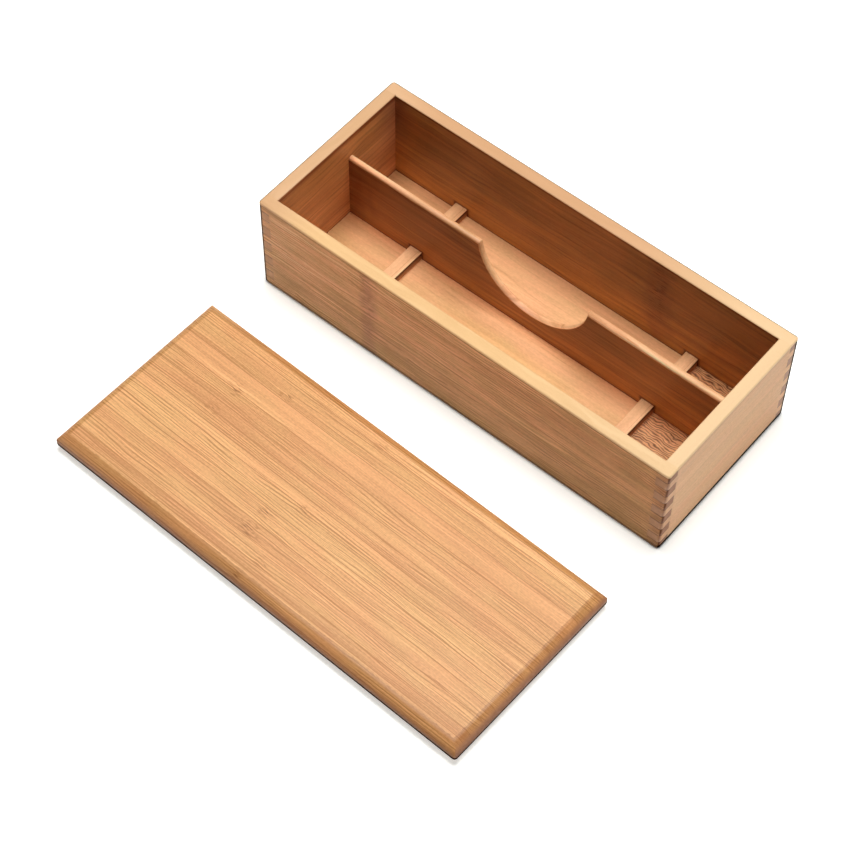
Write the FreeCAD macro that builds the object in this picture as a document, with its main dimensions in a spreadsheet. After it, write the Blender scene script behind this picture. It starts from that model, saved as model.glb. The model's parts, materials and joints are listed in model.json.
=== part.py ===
import FreeCAD, Part
import math
import os
import Sketcher
from FreeCAD import Placement, Rotation, Vector

# A bamboo chopstick box with a lift-off lid, open, with the lid lying in front of it.
# Four finger-jointed walls stand round a floor panel that is let into a rebate in their lower
# edges.  A long divider with a scooped finger notch splits the box into a wide front bay and a
# narrow rear bay, and two cross rests carry the chopsticks clear of the floor.
# The origin is the middle of the box's footprint, on the surface it stands on.
# +X runs along the box's length, +Y from its front wall to its back wall, +Z up.

doc = FreeCAD.newDocument("ChopstickBox")
sheet = doc.addObject("Spreadsheet::Sheet", "Sizes")

DRIVING_SIZES = {
    # the box
    "box_length": 270.0,
    "box_depth": 111.0,
    "box_height": 68.0,
    "wall_thickness": 7.5,
    "corner_radius": 1.8,
    "rim_easing": 0.8,
    "foot_easing": 1.0,
    # finger joints: how many fingers each long wall has at a corner; the end walls have one less
    "long_wall_fingers": 6,
    # the floor, let into a rebate round the walls and flush with their undersides
    "floor_thickness": 4.5,
    "floor_rebate_depth": 3.5,
    "floor_edge_play": 0.25,
    # the divider, housed in the end walls
    "front_bay_depth": 56.5,
    "divider_thickness": 4.0,
    "divider_below_rim": 17.0,
    "housing_depth": 2.5,
    "housing_end_play": 0.1,
    "scoop_radius": 36.6,
    "scoop_centre_rise": 3.6,
    "scoop_easing": 0.8,
    # the two cross rests
    "rest_width": 8.2,
    "rest_height": 5.8,
    "rest_spacing": 159.3,
    "rest_easing": 0.8,
    "rest_notch_play": 0.2,
    # the lid
    "lid_overhang": 3.5,
    "lid_thickness": 9.0,
    "lid_edge_width": 6.0,
    "lid_edge_drop": 7.0,
    "lid_lower_easing": 1.5,
    "lid_corner_radius": 2.0,
    "lid_lip_height": 3.0,
    "lid_lip_play": 0.5,
    # where the lid lies
    "lid_gap": 38.5,
    "lid_shift": -4.7,
    "lid_turn": -1.6,
}

# Two lengths this close to each other are the same length.
CLOSENESS = 1e-6

for row, (name, size) in enumerate(DRIVING_SIZES.items(), start=1):
    sheet.set("A%d" % row, name)
    sheet.set("B%d" % row, str(size))
    sheet.setAlias("B%d" % row, name)
doc.recompute()

# Lengths worked out from the driving sizes.
half_length = "(Sizes.box_length / 2)"
half_depth = "(Sizes.box_depth / 2)"
inner_length = "(Sizes.box_length - 2 * Sizes.wall_thickness)"
inner_depth = "(Sizes.box_depth - 2 * Sizes.wall_thickness)"
finger_height = "(Sizes.box_height / (2 * Sizes.long_wall_fingers - 1))"
floor_reach = "(Sizes.floor_rebate_depth - Sizes.floor_edge_play)"
divider_centre = f"(Sizes.front_bay_depth + Sizes.divider_thickness / 2 - {inner_depth} / 2)"
divider_top = "(Sizes.box_height - Sizes.divider_below_rim)"
lid_length = "(Sizes.box_length + 2 * Sizes.lid_overhang)"
lid_depth = "(Sizes.box_depth + 2 * Sizes.lid_overhang)"
lid_top = "(Sizes.lid_lip_height + Sizes.lid_thickness)"


def number(expression):
    """The present value of an expression on the sheet."""
    return float(sheet.evalExpression(expression))


def new_body(label, x="0", y="0", z="0", turn=0.0):
    """An empty body that stands at (x, y, z), turned about the upright axis."""
    body = doc.addObject("PartDesign::Body", label)
    body.Label = label
    body.Placement = Placement(Vector(0, 0, 0), Rotation(Vector(0, 0, 1), turn))
    for axis, expression in (("x", x), ("y", y), ("z", z)):
        body.setExpression("Placement.Base." + axis, expression)
    return body


def origin_feature(body, role):
    """The body's own plane or axis with this role, such as XY_Plane or Z_Axis."""
    return next(feature for feature in body.Origin.OriginFeatures if feature.Role == role)


def new_sketch(body, plane, name, lift="0"):
    """A sketch on one of the body's origin planes, raised along that plane's normal."""
    sketch = body.newObject("Sketcher::SketchObject", name)
    sketch.AttachmentSupport = (origin_feature(body, plane), [""])
    sketch.MapMode = "FlatFace"
    sketch.setExpression("AttachmentOffset.Base.z", lift)
    return sketch


def measure(sketch, kind, *ends, length):
    """A driving dimension whose value stays bound to the sheet."""
    index = sketch.addConstraint(Sketcher.Constraint(kind, *ends, number(length)))
    sketch.setExpression("Constraints[%d]" % index, length)


def locate(sketch, curve, point, x, y):
    """Place one point of a curve, on the sketch's axes where x or y is 0."""
    if x == "0":
        sketch.addConstraint(Sketcher.Constraint("PointOnObject", curve, point, -2))
    else:
        measure(sketch, "DistanceX", -1, 1, curve, point, length=x)
    if y == "0":
        sketch.addConstraint(Sketcher.Constraint("PointOnObject", curve, point, -1))
    else:
        measure(sketch, "DistanceY", -1, 1, curve, point, length=y)


def line(sketch, x1, y1, x2, y2):
    """A straight line; a level or upright one is held so."""
    curve = sketch.addGeometry(Part.LineSegment(Vector(x1, y1, 0), Vector(x2, y2, 0)))
    sketch.addConstraint(Sketcher.Constraint("Horizontal" if y1 == y2 else "Vertical", curve))
    return curve


def arc(sketch, x, y, radius, start, end):
    """An anticlockwise arc between two angles in degrees."""
    circle = Part.Circle(Vector(x, y, 0), Vector(0, 0, 1), radius)
    return sketch.addGeometry(Part.ArcOfCircle(circle, math.radians(start), math.radians(end)))


def join(sketch, *joints):
    """Close pairs of curve ends, each given as (curve, end, curve, end)."""
    for joint in joints:
        sketch.addConstraint(Sketcher.Constraint("Coincident", *joint))


def draw_rectangle(sketch, left, bottom, width, height):
    """A rectangle from its lower left corner."""
    x1, y1 = number(left), number(bottom)
    x2, y2 = x1 + number(width), y1 + number(height)
    base = line(sketch, x1, y1, x2, y1)
    right = line(sketch, x2, y1, x2, y2)
    top = line(sketch, x2, y2, x1, y2)
    closing = line(sketch, x1, y2, x1, y1)
    join(sketch, (base, 2, right, 1), (right, 2, top, 1), (top, 2, closing, 1), (closing, 2, base, 1))
    locate(sketch, base, 1, left, bottom)
    measure(sketch, "DistanceX", base, 1, base, 2, length=width)
    measure(sketch, "DistanceY", right, 1, right, 2, length=height)


def draw_arched_section(sketch, centre, bottom, width, crown):
    """An upright strip whose top is a half circle as wide as the strip."""
    radius = number(width) / 2
    middle, low = number(centre), number(bottom)
    spring = number(crown) - radius
    base = line(sketch, middle - radius, low, middle + radius, low)
    right = line(sketch, middle + radius, low, middle + radius, spring)
    arch = arc(sketch, middle, spring, radius, 0, 180)
    left = line(sketch, middle - radius, spring, middle - radius, low)
    join(sketch, (base, 2, right, 1), (left, 2, base, 1))
    sketch.addConstraint(Sketcher.Constraint("Tangent", right, 2, arch, 1))
    sketch.addConstraint(Sketcher.Constraint("Tangent", arch, 2, left, 1))
    measure(sketch, "DistanceX", base, 1, base, 2, length=width)
    locate(sketch, arch, 3, centre, f"({crown} - {width} / 2)")
    if bottom == "0":
        sketch.addConstraint(Sketcher.Constraint("PointOnObject", base, 1, -1))
    else:
        measure(sketch, "DistanceY", -1, 1, base, 1, length=bottom)


def draw_edge_waste(sketch, side, edge, top, width, drop):
    """What a rounded upper edge loses: side is +1 for a right-hand edge and -1 for a left-hand one.

    The round starts upright, drop below the top, and reaches the top width in from the edge.
    It is a quarter circle where width and drop are equal; with more drop it meets the top in a crease.
    """
    x, y, across, down = number(edge), number(top), number(width), number(drop)
    radius = (across**2 + down**2) / (2 * across)
    sweep = math.degrees(math.asin(down / radius))
    start, end = (0, sweep) if side > 0 else (180 - sweep, 180)
    low_end, high_end = (1, 2) if side > 0 else (2, 1)
    curve = arc(sketch, x - side * radius, y - down, radius, start, end)
    level = line(sketch, x - side * across, y, x, y)
    upright = line(sketch, x, y, x, y - down)
    join(sketch, (curve, high_end, level, 1), (level, 2, upright, 1), (upright, 2, curve, low_end))
    sketch.addConstraint(Sketcher.Constraint("Horizontal", curve, 3, curve, low_end))
    ends = (level, 1, level, 2) if side > 0 else (level, 2, level, 1)
    measure(sketch, "DistanceX", *ends, length=width)
    measure(sketch, "DistanceY", upright, 2, upright, 1, length=drop)
    locate(sketch, level, 2, edge, top)


def draw_spool_section(sketch, radius, width, easing):
    """Half of a spool, to turn about the sketch's upright axis: it leaves eased edges on a plate."""
    core, half, small = number(radius), number(width) / 2, number(easing)
    rim = core + small
    axle = line(sketch, 0, half, 0, -half)
    low_side = line(sketch, 0, -half, rim, -half)
    low_curve = arc(sketch, rim, small - half, small, 180, 270)
    barrel = line(sketch, core, small - half, core, half - small)
    high_curve = arc(sketch, rim, half - small, small, 90, 180)
    high_side = line(sketch, rim, half, 0, half)
    join(sketch, (axle, 2, low_side, 1), (high_side, 2, axle, 1))
    join(sketch, (low_side, 2, low_curve, 2), (high_side, 1, high_curve, 1))
    sketch.addConstraint(Sketcher.Constraint("Tangent", low_curve, 1, barrel, 1))
    sketch.addConstraint(Sketcher.Constraint("Tangent", barrel, 2, high_curve, 2))
    sketch.addConstraint(Sketcher.Constraint("Vertical", low_curve, 3, low_curve, 2))
    sketch.addConstraint(Sketcher.Constraint("Vertical", high_curve, 3, high_curve, 1))
    sketch.addConstraint(Sketcher.Constraint("Symmetric", axle, 1, axle, 2, -1, 1))
    measure(sketch, "DistanceY", axle, 2, axle, 1, length=width)
    measure(sketch, "Radius", low_curve, length=easing)
    measure(sketch, "Radius", high_curve, length=easing)
    measure(sketch, "DistanceX", -1, 1, barrel, 1, length=radius)


def pad(body, sketch, length, both_ways=False):
    """Thicken a sketch along its normal, or half each way."""
    feature = body.newObject("PartDesign::Pad", sketch.Name + "_pad")
    feature.Profile = sketch
    feature.SideType = "Symmetric" if both_ways else "One side"
    feature.setExpression("Length", length)
    doc.recompute()
    return feature


def pocket(body, sketch, depth=None, both_ways=False, flip=False):
    """Cut a sketch out of the body: all the way through, unless it has a depth."""
    before = body.Shape.Volume
    feature = body.newObject("PartDesign::Pocket", sketch.Name + "_cut")
    feature.Profile = sketch
    feature.SideType = "Symmetric" if both_ways else "One side"
    feature.Reversed = flip
    if depth is None:
        feature.Type = "ThroughAll"
    else:
        feature.setExpression("Length", depth)
    doc.recompute()
    if not feature.Shape.Volume < before:
        raise RuntimeError(feature.Label + " cuts nothing")
    return feature


def revolve_cut(body, sketch):
    """Cut a full turn of a sketch about its upright axis."""
    before = body.Shape.Volume
    feature = body.newObject("PartDesign::Groove", sketch.Name + "_cut")
    feature.Profile = sketch
    feature.ReferenceAxis = (sketch, ["V_Axis"])
    feature.Angle = 360
    doc.recompute()
    if not feature.Shape.Volume < before:
        raise RuntimeError(feature.Label + " cuts nothing")
    return feature


def repeat_upwards(body, feature, pitch, count):
    """Repeat a cut up the wall."""
    pattern = body.newObject("PartDesign::LinearPattern", feature.Name + "_row")
    pattern.Originals = [feature]
    pattern.Direction = (origin_feature(body, "Z_Axis"), [""])
    pattern.setExpression("Length", f"{pitch} * ({count} - 1)")
    pattern.setExpression("Occurrences", count)
    body.Tip = pattern
    doc.recompute()
    return pattern


def round_edges(body, chosen, radius):
    """Round the edges of the body's present shape that the test picks out by their middles."""
    tip = body.Tip
    picked = [
        "Edge%d" % index
        for index, edge in enumerate(tip.Shape.Edges, start=1)
        if chosen(edge, edge.CenterOfMass)
    ]
    feature = body.newObject("PartDesign::Fillet", body.Name + "_round")
    feature.Base = (tip, picked)
    feature.setExpression("Radius", radius)
    doc.recompute()
    return feature


def same(first, second):
    """True for two lengths that are meant to be the same."""
    return abs(first - second) < CLOSENESS


def is_upright(edge):
    """True for a straight edge that runs straight up."""
    return same(edge.Length, edge.BoundBox.ZLength)


def round_outer_edges(body, depth):
    """Round a plain wall's upright corners, rim and foot, all but the edges of its inner face.

    depth tells how far an edge's middle stands from the plane of the inner face.
    """
    rim = number("Sizes.box_height")
    round_edges(body, lambda edge, middle: is_upright(edge) and not same(depth(middle), 0),
                "Sizes.corner_radius")
    round_edges(body, lambda edge, middle: same(middle.z, rim) and not same(depth(middle), 0),
                "Sizes.rim_easing")
    round_edges(body, lambda edge, middle: same(middle.z, 0) and not same(depth(middle), 0),
                "Sizes.foot_easing")


def make_long_wall(label, y, turn):
    """A long wall. Its inner face is the body's XZ plane, and the wall lies on the -Y side of it."""
    body = new_body(label, y=y, turn=turn)

    plan = new_sketch(body, "XY_Plane", label + "_plan")
    draw_rectangle(plan, f"(-{half_length})", "(-Sizes.wall_thickness)",
                   "Sizes.box_length", "Sizes.wall_thickness")
    pad(body, plan, "Sizes.box_height")

    round_outer_edges(body, lambda middle: middle.y)

    inner_rim = new_sketch(body, "YZ_Plane", label + "_inner_rim")
    draw_edge_waste(inner_rim, 1, "0", "Sizes.box_height", "Sizes.rim_easing", "Sizes.rim_easing")
    pocket(body, inner_rim, depth=inner_length, both_ways=True)

    gaps = new_sketch(body, "XZ_Plane", label + "_finger_gaps")
    for left in (f"({inner_length} / 2)", f"(-{half_length})"):
        draw_rectangle(gaps, left, finger_height, "Sizes.wall_thickness", finger_height)
    lowest_gap = pocket(body, gaps, both_ways=True)
    repeat_upwards(body, lowest_gap, f"2 * {finger_height}", "(Sizes.long_wall_fingers - 1)")

    rebate = new_sketch(body, "XZ_Plane", label + "_floor_rebate")
    draw_rectangle(rebate, f"(-{inner_length} / 2 - Sizes.floor_rebate_depth)", "0",
                   f"({inner_length} + 2 * Sizes.floor_rebate_depth)", "Sizes.floor_thickness")
    pocket(body, rebate, depth="Sizes.floor_rebate_depth", flip=True)
    return body


def make_end_wall(label, x, turn, side):
    """An end wall. Its inner face is the body's YZ plane, and the wall lies on the +X side of it.

    side is +1 where the body's +Y is the box's +Y, and -1 where the body is turned about.
    """
    body = new_body(label, x=x, turn=turn)

    plan = new_sketch(body, "XY_Plane", label + "_plan")
    draw_rectangle(plan, "0", f"(-{half_depth})", "Sizes.wall_thickness", "Sizes.box_depth")
    pad(body, plan, "Sizes.box_height")

    round_outer_edges(body, lambda middle: middle.x)

    inner_rim = new_sketch(body, "XZ_Plane", label + "_inner_rim")
    draw_edge_waste(inner_rim, -1, "0", "Sizes.box_height", "Sizes.rim_easing", "Sizes.rim_easing")
    pocket(body, inner_rim, depth=inner_depth, both_ways=True)

    gaps = new_sketch(body, "YZ_Plane", label + "_finger_gaps")
    for left in (f"({inner_depth} / 2)", f"(-{half_depth})"):
        draw_rectangle(gaps, left, "0", "Sizes.wall_thickness", finger_height)
    lowest_gap = pocket(body, gaps, both_ways=True)
    repeat_upwards(body, lowest_gap, f"2 * {finger_height}", "Sizes.long_wall_fingers")

    rebate = new_sketch(body, "YZ_Plane", label + "_floor_rebate")
    draw_rectangle(rebate, f"(-{inner_depth} / 2)", "0", inner_depth, "Sizes.floor_thickness")
    pocket(body, rebate, depth="Sizes.floor_rebate_depth", flip=True)

    housing = new_sketch(body, "YZ_Plane", label + "_divider_housing")
    draw_arched_section(housing, f"({side} * {divider_centre})", "Sizes.floor_thickness",
                        "Sizes.divider_thickness", divider_top)
    pocket(body, housing, depth="Sizes.housing_depth", flip=True)
    return body


def make_floor_panel():
    """The floor: a thin panel that reaches into the rebate on all four sides."""
    body = new_body("floor_panel")
    length = f"({inner_length} + 2 * {floor_reach})"
    depth = f"({inner_depth} + 2 * {floor_reach})"
    plan = new_sketch(body, "XY_Plane", "floor_plan")
    draw_rectangle(plan, f"(-{length} / 2)", f"(-{depth} / 2)", length, depth)
    pad(body, plan, "Sizes.floor_thickness")
    return body


def make_divider():
    """The divider: round-topped, notched over the rests, with a scoop for the fingers."""
    body = new_body("divider", y=divider_centre, z="Sizes.floor_thickness")
    height = f"({divider_top} - Sizes.floor_thickness)"
    length = f"({inner_length} + 2 * (Sizes.housing_depth - Sizes.housing_end_play))"
    section = new_sketch(body, "YZ_Plane", "divider_section")
    draw_arched_section(section, "0", "0", "Sizes.divider_thickness", height)
    pad(body, section, length, both_ways=True)

    notches = new_sketch(body, "XZ_Plane", "divider_notches")
    notch_width = "(Sizes.rest_width + 2 * Sizes.rest_notch_play)"
    for middle in ("Sizes.rest_spacing / 2", "-Sizes.rest_spacing / 2"):
        draw_rectangle(notches, f"({middle} - {notch_width} / 2)", "0", notch_width, "Sizes.rest_height")
    pocket(body, notches, both_ways=True)

    scoop = new_sketch(body, "XY_Plane", "divider_scoop", lift=f"({height} + Sizes.scoop_centre_rise)")
    draw_spool_section(scoop, "Sizes.scoop_radius", "Sizes.divider_thickness", "Sizes.scoop_easing")
    revolve_cut(body, scoop)
    return body


def make_rest(label, x):
    """A cross rest: a low batten on the floor from wall to wall, with its upper edges eased."""
    body = new_body(label, x=x, z="Sizes.floor_thickness")
    section = new_sketch(body, "XZ_Plane", label + "_section")
    draw_rectangle(section, "(-Sizes.rest_width / 2)", "0", "Sizes.rest_width", "Sizes.rest_height")
    pad(body, section, inner_depth, both_ways=True)
    top = number("Sizes.rest_height")
    long_side = number(inner_depth)
    round_edges(body, lambda edge, middle: same(middle.z, top) and same(edge.Length, long_side),
                "Sizes.rest_easing")
    return body


def make_lid():
    """The lid: a board with round-over edges above a lip that drops into the box's mouth."""
    y = f"(-({half_depth} + Sizes.lid_gap + {lid_depth} / 2))"
    body = new_body("lid", x="Sizes.lid_shift", y=y)
    body.setExpression("Placement.Rotation.Angle", "Sizes.lid_turn")

    lip = new_sketch(body, "XY_Plane", "lid_lip")
    lip_length = f"({inner_length} - 2 * Sizes.lid_lip_play)"
    lip_depth = f"({inner_depth} - 2 * Sizes.lid_lip_play)"
    draw_rectangle(lip, f"(-{lip_length} / 2)", f"(-{lip_depth} / 2)", lip_length, lip_depth)
    pad(body, lip, "Sizes.lid_lip_height")

    board = new_sketch(body, "XY_Plane", "lid_board", lift="Sizes.lid_lip_height")
    draw_rectangle(board, f"(-{lid_length} / 2)", f"(-{lid_depth} / 2)", lid_length, lid_depth)
    pad(body, board, "Sizes.lid_thickness")
    thickness = number("Sizes.lid_thickness")
    round_edges(body, lambda edge, middle: is_upright(edge) and same(edge.Length, thickness),
                "Sizes.lid_corner_radius")
    underside = number("Sizes.lid_lip_height")
    mouth_x, mouth_y = number(inner_length) / 2, number(inner_depth) / 2

    def on_lower_outline(edge, middle):
        beyond_mouth = abs(middle.x) > mouth_x or abs(middle.y) > mouth_y
        return beyond_mouth and same(middle.z, underside)

    round_edges(body, on_lower_outline, "Sizes.lid_lower_easing")

    for plane, name, width in (("YZ_Plane", "lid_long_edges", lid_depth),
                               ("XZ_Plane", "lid_end_edges", lid_length)):
        edges = new_sketch(body, plane, name)
        for side in (1, -1):
            draw_edge_waste(edges, side, f"({side} * {width} / 2)", lid_top,
                            "Sizes.lid_edge_width", "Sizes.lid_edge_drop")
        pocket(body, edges, both_ways=True)
    return body


sub_parts = [
    make_long_wall("front_wall", f"(-{inner_depth} / 2)", 0),
    make_long_wall("back_wall", f"({inner_depth} / 2)", 180),
    make_end_wall("left_end_wall", f"(-{inner_length} / 2)", 180, -1),
    make_end_wall("right_end_wall", f"({inner_length} / 2)", 0, 1),
    make_floor_panel(),
    make_divider(),
    make_rest("left_rest", "(-Sizes.rest_spacing / 2)"),
    make_rest("right_rest", "(Sizes.rest_spacing / 2)"),
    make_lid(),
]

doc.recompute()
for item in doc.Objects:
    if {"Invalid", "Error"} & set(item.State):
        raise RuntimeError(item.Label + " did not rebuild")
for body in sub_parts:
    if body.Shape.isNull() or not body.Shape.isValid() or len(body.Shape.Solids) != 1:
        raise RuntimeError(body.Label + " is not one sound solid")

os.makedirs("parts", exist_ok=True)
for body in sub_parts:
    body.Shape.exportStep("parts/" + body.Label + ".step")
    print(body.Label, "%.0f mm3" % body.Shape.Volume)
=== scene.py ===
"""Looks of the bamboo chopstick box and its lift-off lid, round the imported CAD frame."""
import json
import math
import random

import bmesh
import bpy
from mathutils import Euler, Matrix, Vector

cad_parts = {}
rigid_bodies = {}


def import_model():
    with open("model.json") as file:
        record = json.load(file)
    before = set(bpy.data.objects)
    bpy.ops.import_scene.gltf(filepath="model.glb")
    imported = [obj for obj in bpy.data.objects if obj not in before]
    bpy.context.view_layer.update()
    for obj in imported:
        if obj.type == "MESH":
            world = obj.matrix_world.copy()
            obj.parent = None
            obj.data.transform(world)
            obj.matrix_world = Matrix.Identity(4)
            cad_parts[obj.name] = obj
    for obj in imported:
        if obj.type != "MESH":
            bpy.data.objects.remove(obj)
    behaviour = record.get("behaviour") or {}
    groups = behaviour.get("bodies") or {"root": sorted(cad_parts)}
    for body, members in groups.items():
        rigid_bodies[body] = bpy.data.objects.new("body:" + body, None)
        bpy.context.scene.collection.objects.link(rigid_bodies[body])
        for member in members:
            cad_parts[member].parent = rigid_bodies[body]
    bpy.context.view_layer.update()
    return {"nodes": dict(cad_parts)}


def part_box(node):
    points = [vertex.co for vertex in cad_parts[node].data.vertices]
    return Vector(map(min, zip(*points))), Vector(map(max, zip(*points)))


for leftover in list(bpy.data.objects):
    bpy.data.objects.remove(leftover)

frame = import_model()

MM = 0.001
X, Y, Z = 0, 1, 2

# ---------------------------------------------------------------- camera
CAMERA_PLACE = Vector((0.44442, -0.62343, 1.06180))
CAMERA_TURN = Euler((0.590065, -0.005462, 0.693226), "XYZ")
CAMERA_LENS = 102.24
SENSOR_WIDTH = 36.0
CLIP_START = 0.01
CLIP_END = 50.0


def make_camera():
    """Stands the camera where the box is seen from above its near right corner."""
    data = bpy.data.cameras.new("camera")
    data.lens = CAMERA_LENS
    data.sensor_width = SENSOR_WIDTH
    data.clip_start = CLIP_START
    data.clip_end = CLIP_END
    camera = bpy.data.objects.new("camera", data)
    camera.location = CAMERA_PLACE
    camera.rotation_euler = CAMERA_TURN
    bpy.context.scene.collection.objects.link(camera)
    bpy.context.scene.camera = camera


# ---------------------------------------------------------------- node trees
SOFT_EDGE = 0.3 * MM


class Tree:
    """The node tree of one material: each method adds a node and returns its result."""

    def __init__(self, owner):
        owner.use_nodes = True
        self.tree = owner.node_tree
        self.tree.nodes.clear()

    def feed(self, socket, value):
        """Links value to the socket, or writes it there if it is a constant."""
        if isinstance(value, bpy.types.NodeSocket):
            self.tree.links.new(value, socket)
        else:
            socket.default_value = value

    def add(self, kind, inputs=None, **settings):
        """Adds a node with its settings and inputs, by name or by number."""
        node = self.tree.nodes.new(kind)
        for key, value in settings.items():
            setattr(node, key, value)
        for key, value in (inputs or {}).items():
            self.feed(node.inputs[key], value)
        return node

    def math(self, operation, *values):
        """A number worked out from one, two or three others."""
        node = self.add("ShaderNodeMath", dict(enumerate(values)), operation=operation)
        return node.outputs[0]

    def plus(self, first, second):
        """The sum of two numbers."""
        return self.math("ADD", first, second)

    def minus(self, first, second):
        """The first number less the second."""
        return self.math("SUBTRACT", first, second)

    def times(self, first, *others):
        """The product of some numbers."""
        for other in others:
            first = self.math("MULTIPLY", first, other)
        return first

    def most(self, first, *others):
        """The largest of some numbers."""
        for other in others:
            first = self.math("MAXIMUM", first, other)
        return first

    def size(self, value):
        """A number without its sign."""
        return self.math("ABSOLUTE", value)

    def sum_up(self, start, *parts):
        """start plus each value times its weight."""
        for value, weight in parts:
            start = self.math("MULTIPLY_ADD", value, weight, start)
        return start

    def ramp(self, value, low, high, start=0.0, end=1.0):
        """Goes smoothly from start to end as value goes from low to high."""
        inputs = {0: value, 1: low, 2: high, 3: start, 4: end}
        node = self.add("ShaderNodeMapRange", inputs, interpolation_type="SMOOTHSTEP")
        return node.outputs[0]

    def rise(self, value, span):
        """0 before the span, and 1 past it."""
        return self.ramp(value, *span)

    def fall(self, value, span):
        """1 before the span, and 0 past it."""
        return self.ramp(value, *span, 1.0, 0.0)

    def past(self, value, limit, soft=SOFT_EDGE):
        """1 where a value is past the limit, with a soft edge."""
        return self.ramp(value, limit - soft, limit + soft)

    def blend(self, factor, first, second, mode="MIX"):
        """One colour laid over another."""
        inputs = {0: factor, 6: first, 7: second}
        node = self.add("ShaderNodeMix", inputs, data_type="RGBA", blend_type=mode)
        return node.outputs[2]

    def tint(self, mask, shade, factor):
        """A colour multiplied by another where the mask is 1."""
        return self.blend(mask, shade, factor, "MULTIPLY")

    def vector(self, operation, *values):
        """A vector worked out from one or two others."""
        node = self.add("ShaderNodeVectorMath", dict(enumerate(values)), operation=operation)
        return node.outputs["Vector"]

    def distance(self, vector):
        """The length of a vector."""
        node = self.add("ShaderNodeVectorMath", {0: vector}, operation="LENGTH")
        return node.outputs["Value"]

    def stretch(self, vector, sizes):
        """Scales a place so that a texture's features come out at these sizes in metres."""
        return self.vector("MULTIPLY", vector, tuple(1.0 / size for size in sizes))

    def noise(self, vector, sizes, detail=0.0, roughness=0.5, seed=0.0):
        """Soft noise from 0 to 1 with features of these sizes in metres."""
        inputs = {
            "Vector": self.stretch(vector, sizes),
            "W": seed,
            "Scale": 1.0,
            "Detail": detail,
            "Roughness": roughness,
        }
        node = self.add("ShaderNodeTexNoise", inputs, noise_dimensions="4D")
        return node.outputs[0]

    def combine(self, x, y, z=0.0):
        """A vector from its numbers."""
        return self.add("ShaderNodeCombineXYZ", {0: x, 1: y, 2: z}).outputs[0]

    def separate(self, vector):
        """The three numbers of a vector."""
        return self.add("ShaderNodeSeparateXYZ", {0: vector}).outputs

    def random(self, value):
        """An even random number from 0 to 1 for each whole number."""
        return self.add("ShaderNodeTexWhiteNoise", {"W": value}, noise_dimensions="1D").outputs[0]

    def mix_shaders(self, factor, first, second):
        """One shader faded into another."""
        return self.add("ShaderNodeMixShader", {0: factor, 1: first, 2: second}).outputs[0]


def colour(red, green, blue):
    """A linear colour from its 0 to 255 display values."""

    def linear(value):
        share = value / 255.0
        if share <= 0.04045:
            return share / 12.92
        return ((share + 0.055) / 1.055) ** 2.4

    return (linear(red), linear(green), linear(blue), 1.0)


def toned(first, second):
    """A linear colour multiplied by three factors."""
    return tuple(a * b for a, b in zip(first[:3], second)) + (1.0,)


# ---------------------------------------------------------------- bamboo
# Factors on a board's base colour.
WHOLE = (1.0, 1.0, 1.0, 1.0)
DEEPER = (0.64, 0.54, 0.42)
PALER = (1.22, 1.28, 1.36)
ROSIER = (1.03, 0.94, 0.98)
KNOT_SHADE = (0.54, 0.45, 0.34, 1.0)
KNOT_FADE = (0.4, 1.6)

# Sizes of the patterns' features: along the fibres, across them and through the board.
DRIFT_SIZE = (110 * MM, 16 * MM, 16 * MM)
STREAK_SIZE = (150 * MM, 3.2 * MM, 1.0)
CLOUD_SIZE = (60 * MM, 7 * MM, 1.0)
PATCH_SIZE = (30 * MM, 12 * MM, 1.0)
SPECK_SIZE = (1.6 * MM, 0.7 * MM, 0.7 * MM)
DASH_SIZE = (6 * MM, 0.6 * MM, 1.0)

# How far the fibres lie over from one side of a board to the other.
SLANT = 0.4

# Strips: the dark seam between them, where clouds hide it, and how pink strips and patches are.
SEAM_WIDTH = 0.45 * MM
SEAM_FADE = (0.25, 0.55)
PINK_START = -0.1
STRIP_PINKNESS = 0.7
BLUSH_FADE = (0.35, 0.65)

# Where noise stands when a pattern starts and ends, then the pattern's strength there.
CLUMP_RANGE = (0.38, 0.60, 0.25, 1.25)
DASH_RANGE = (0.36, 0.48, 2.2, 0.0)

# A thread's dark core and pale flanks: two distances from its middle in pitches, then the strengths.
CORE = (0.04, 0.24, 1.25, 0.0)
FLANK = (0.18, 0.34, 0.0, 0.25)
THREAD_WEAKEST = 0.3
THREAD_FADE = (0.40, 0.62)
# How far the threads sway, in pitches, over how many reaches and pitches, and the step of their fading.
SWAY = 4.0
SWAY_REACHES = 2.0
SWAY_PITCHES = 6.0
FADE_STEP = 7.3
# Pitch and reach of the fine and of the pale threads, as shares of the coarse ones'.
FINE_PITCH = 0.48
FINE_REACH = 0.6
LIGHT_PITCH = 1.3
LIGHT_REACH = 1.5

# Cut ends, with dots and bands.
CUT_FACING = (0.45, 0.8)
DOT_SIZE = (1.0, 0.6 * MM, 0.6 * MM)
END_BAND_SIZE = (1.0, 3 * MM, 3 * MM)
END_START = -0.1
DOT_CONTRAST = 0.4
END_BAND_CONTRAST = 0.8

# The surface: threads and seams lie a hair lower, pale lines higher, and near-black lines don't shine.
RELIEF_DEPTH = 0.12 * MM
RIDGE = 0.4
HOLLOW = -0.6
GLOSS_CONTRAST = 0.12
SHINE_FADE = (0.01, 0.16)
WOOD_IOR = 1.45


def draw_strips(look):
    """Makes up a board's strips: where each starts, its tone, pinkness and richness in threads."""
    dice = random.Random(int(look["seed"]))
    start, end = look["span"]
    strips = []
    while start < end:
        strips.append((start, dice.uniform(0.2, 0.8), dice.random(), dice.uniform(0.4, 1.0)))
        start += look["strip"] * dice.uniform(0.8, 1.2)
    return strips


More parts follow.
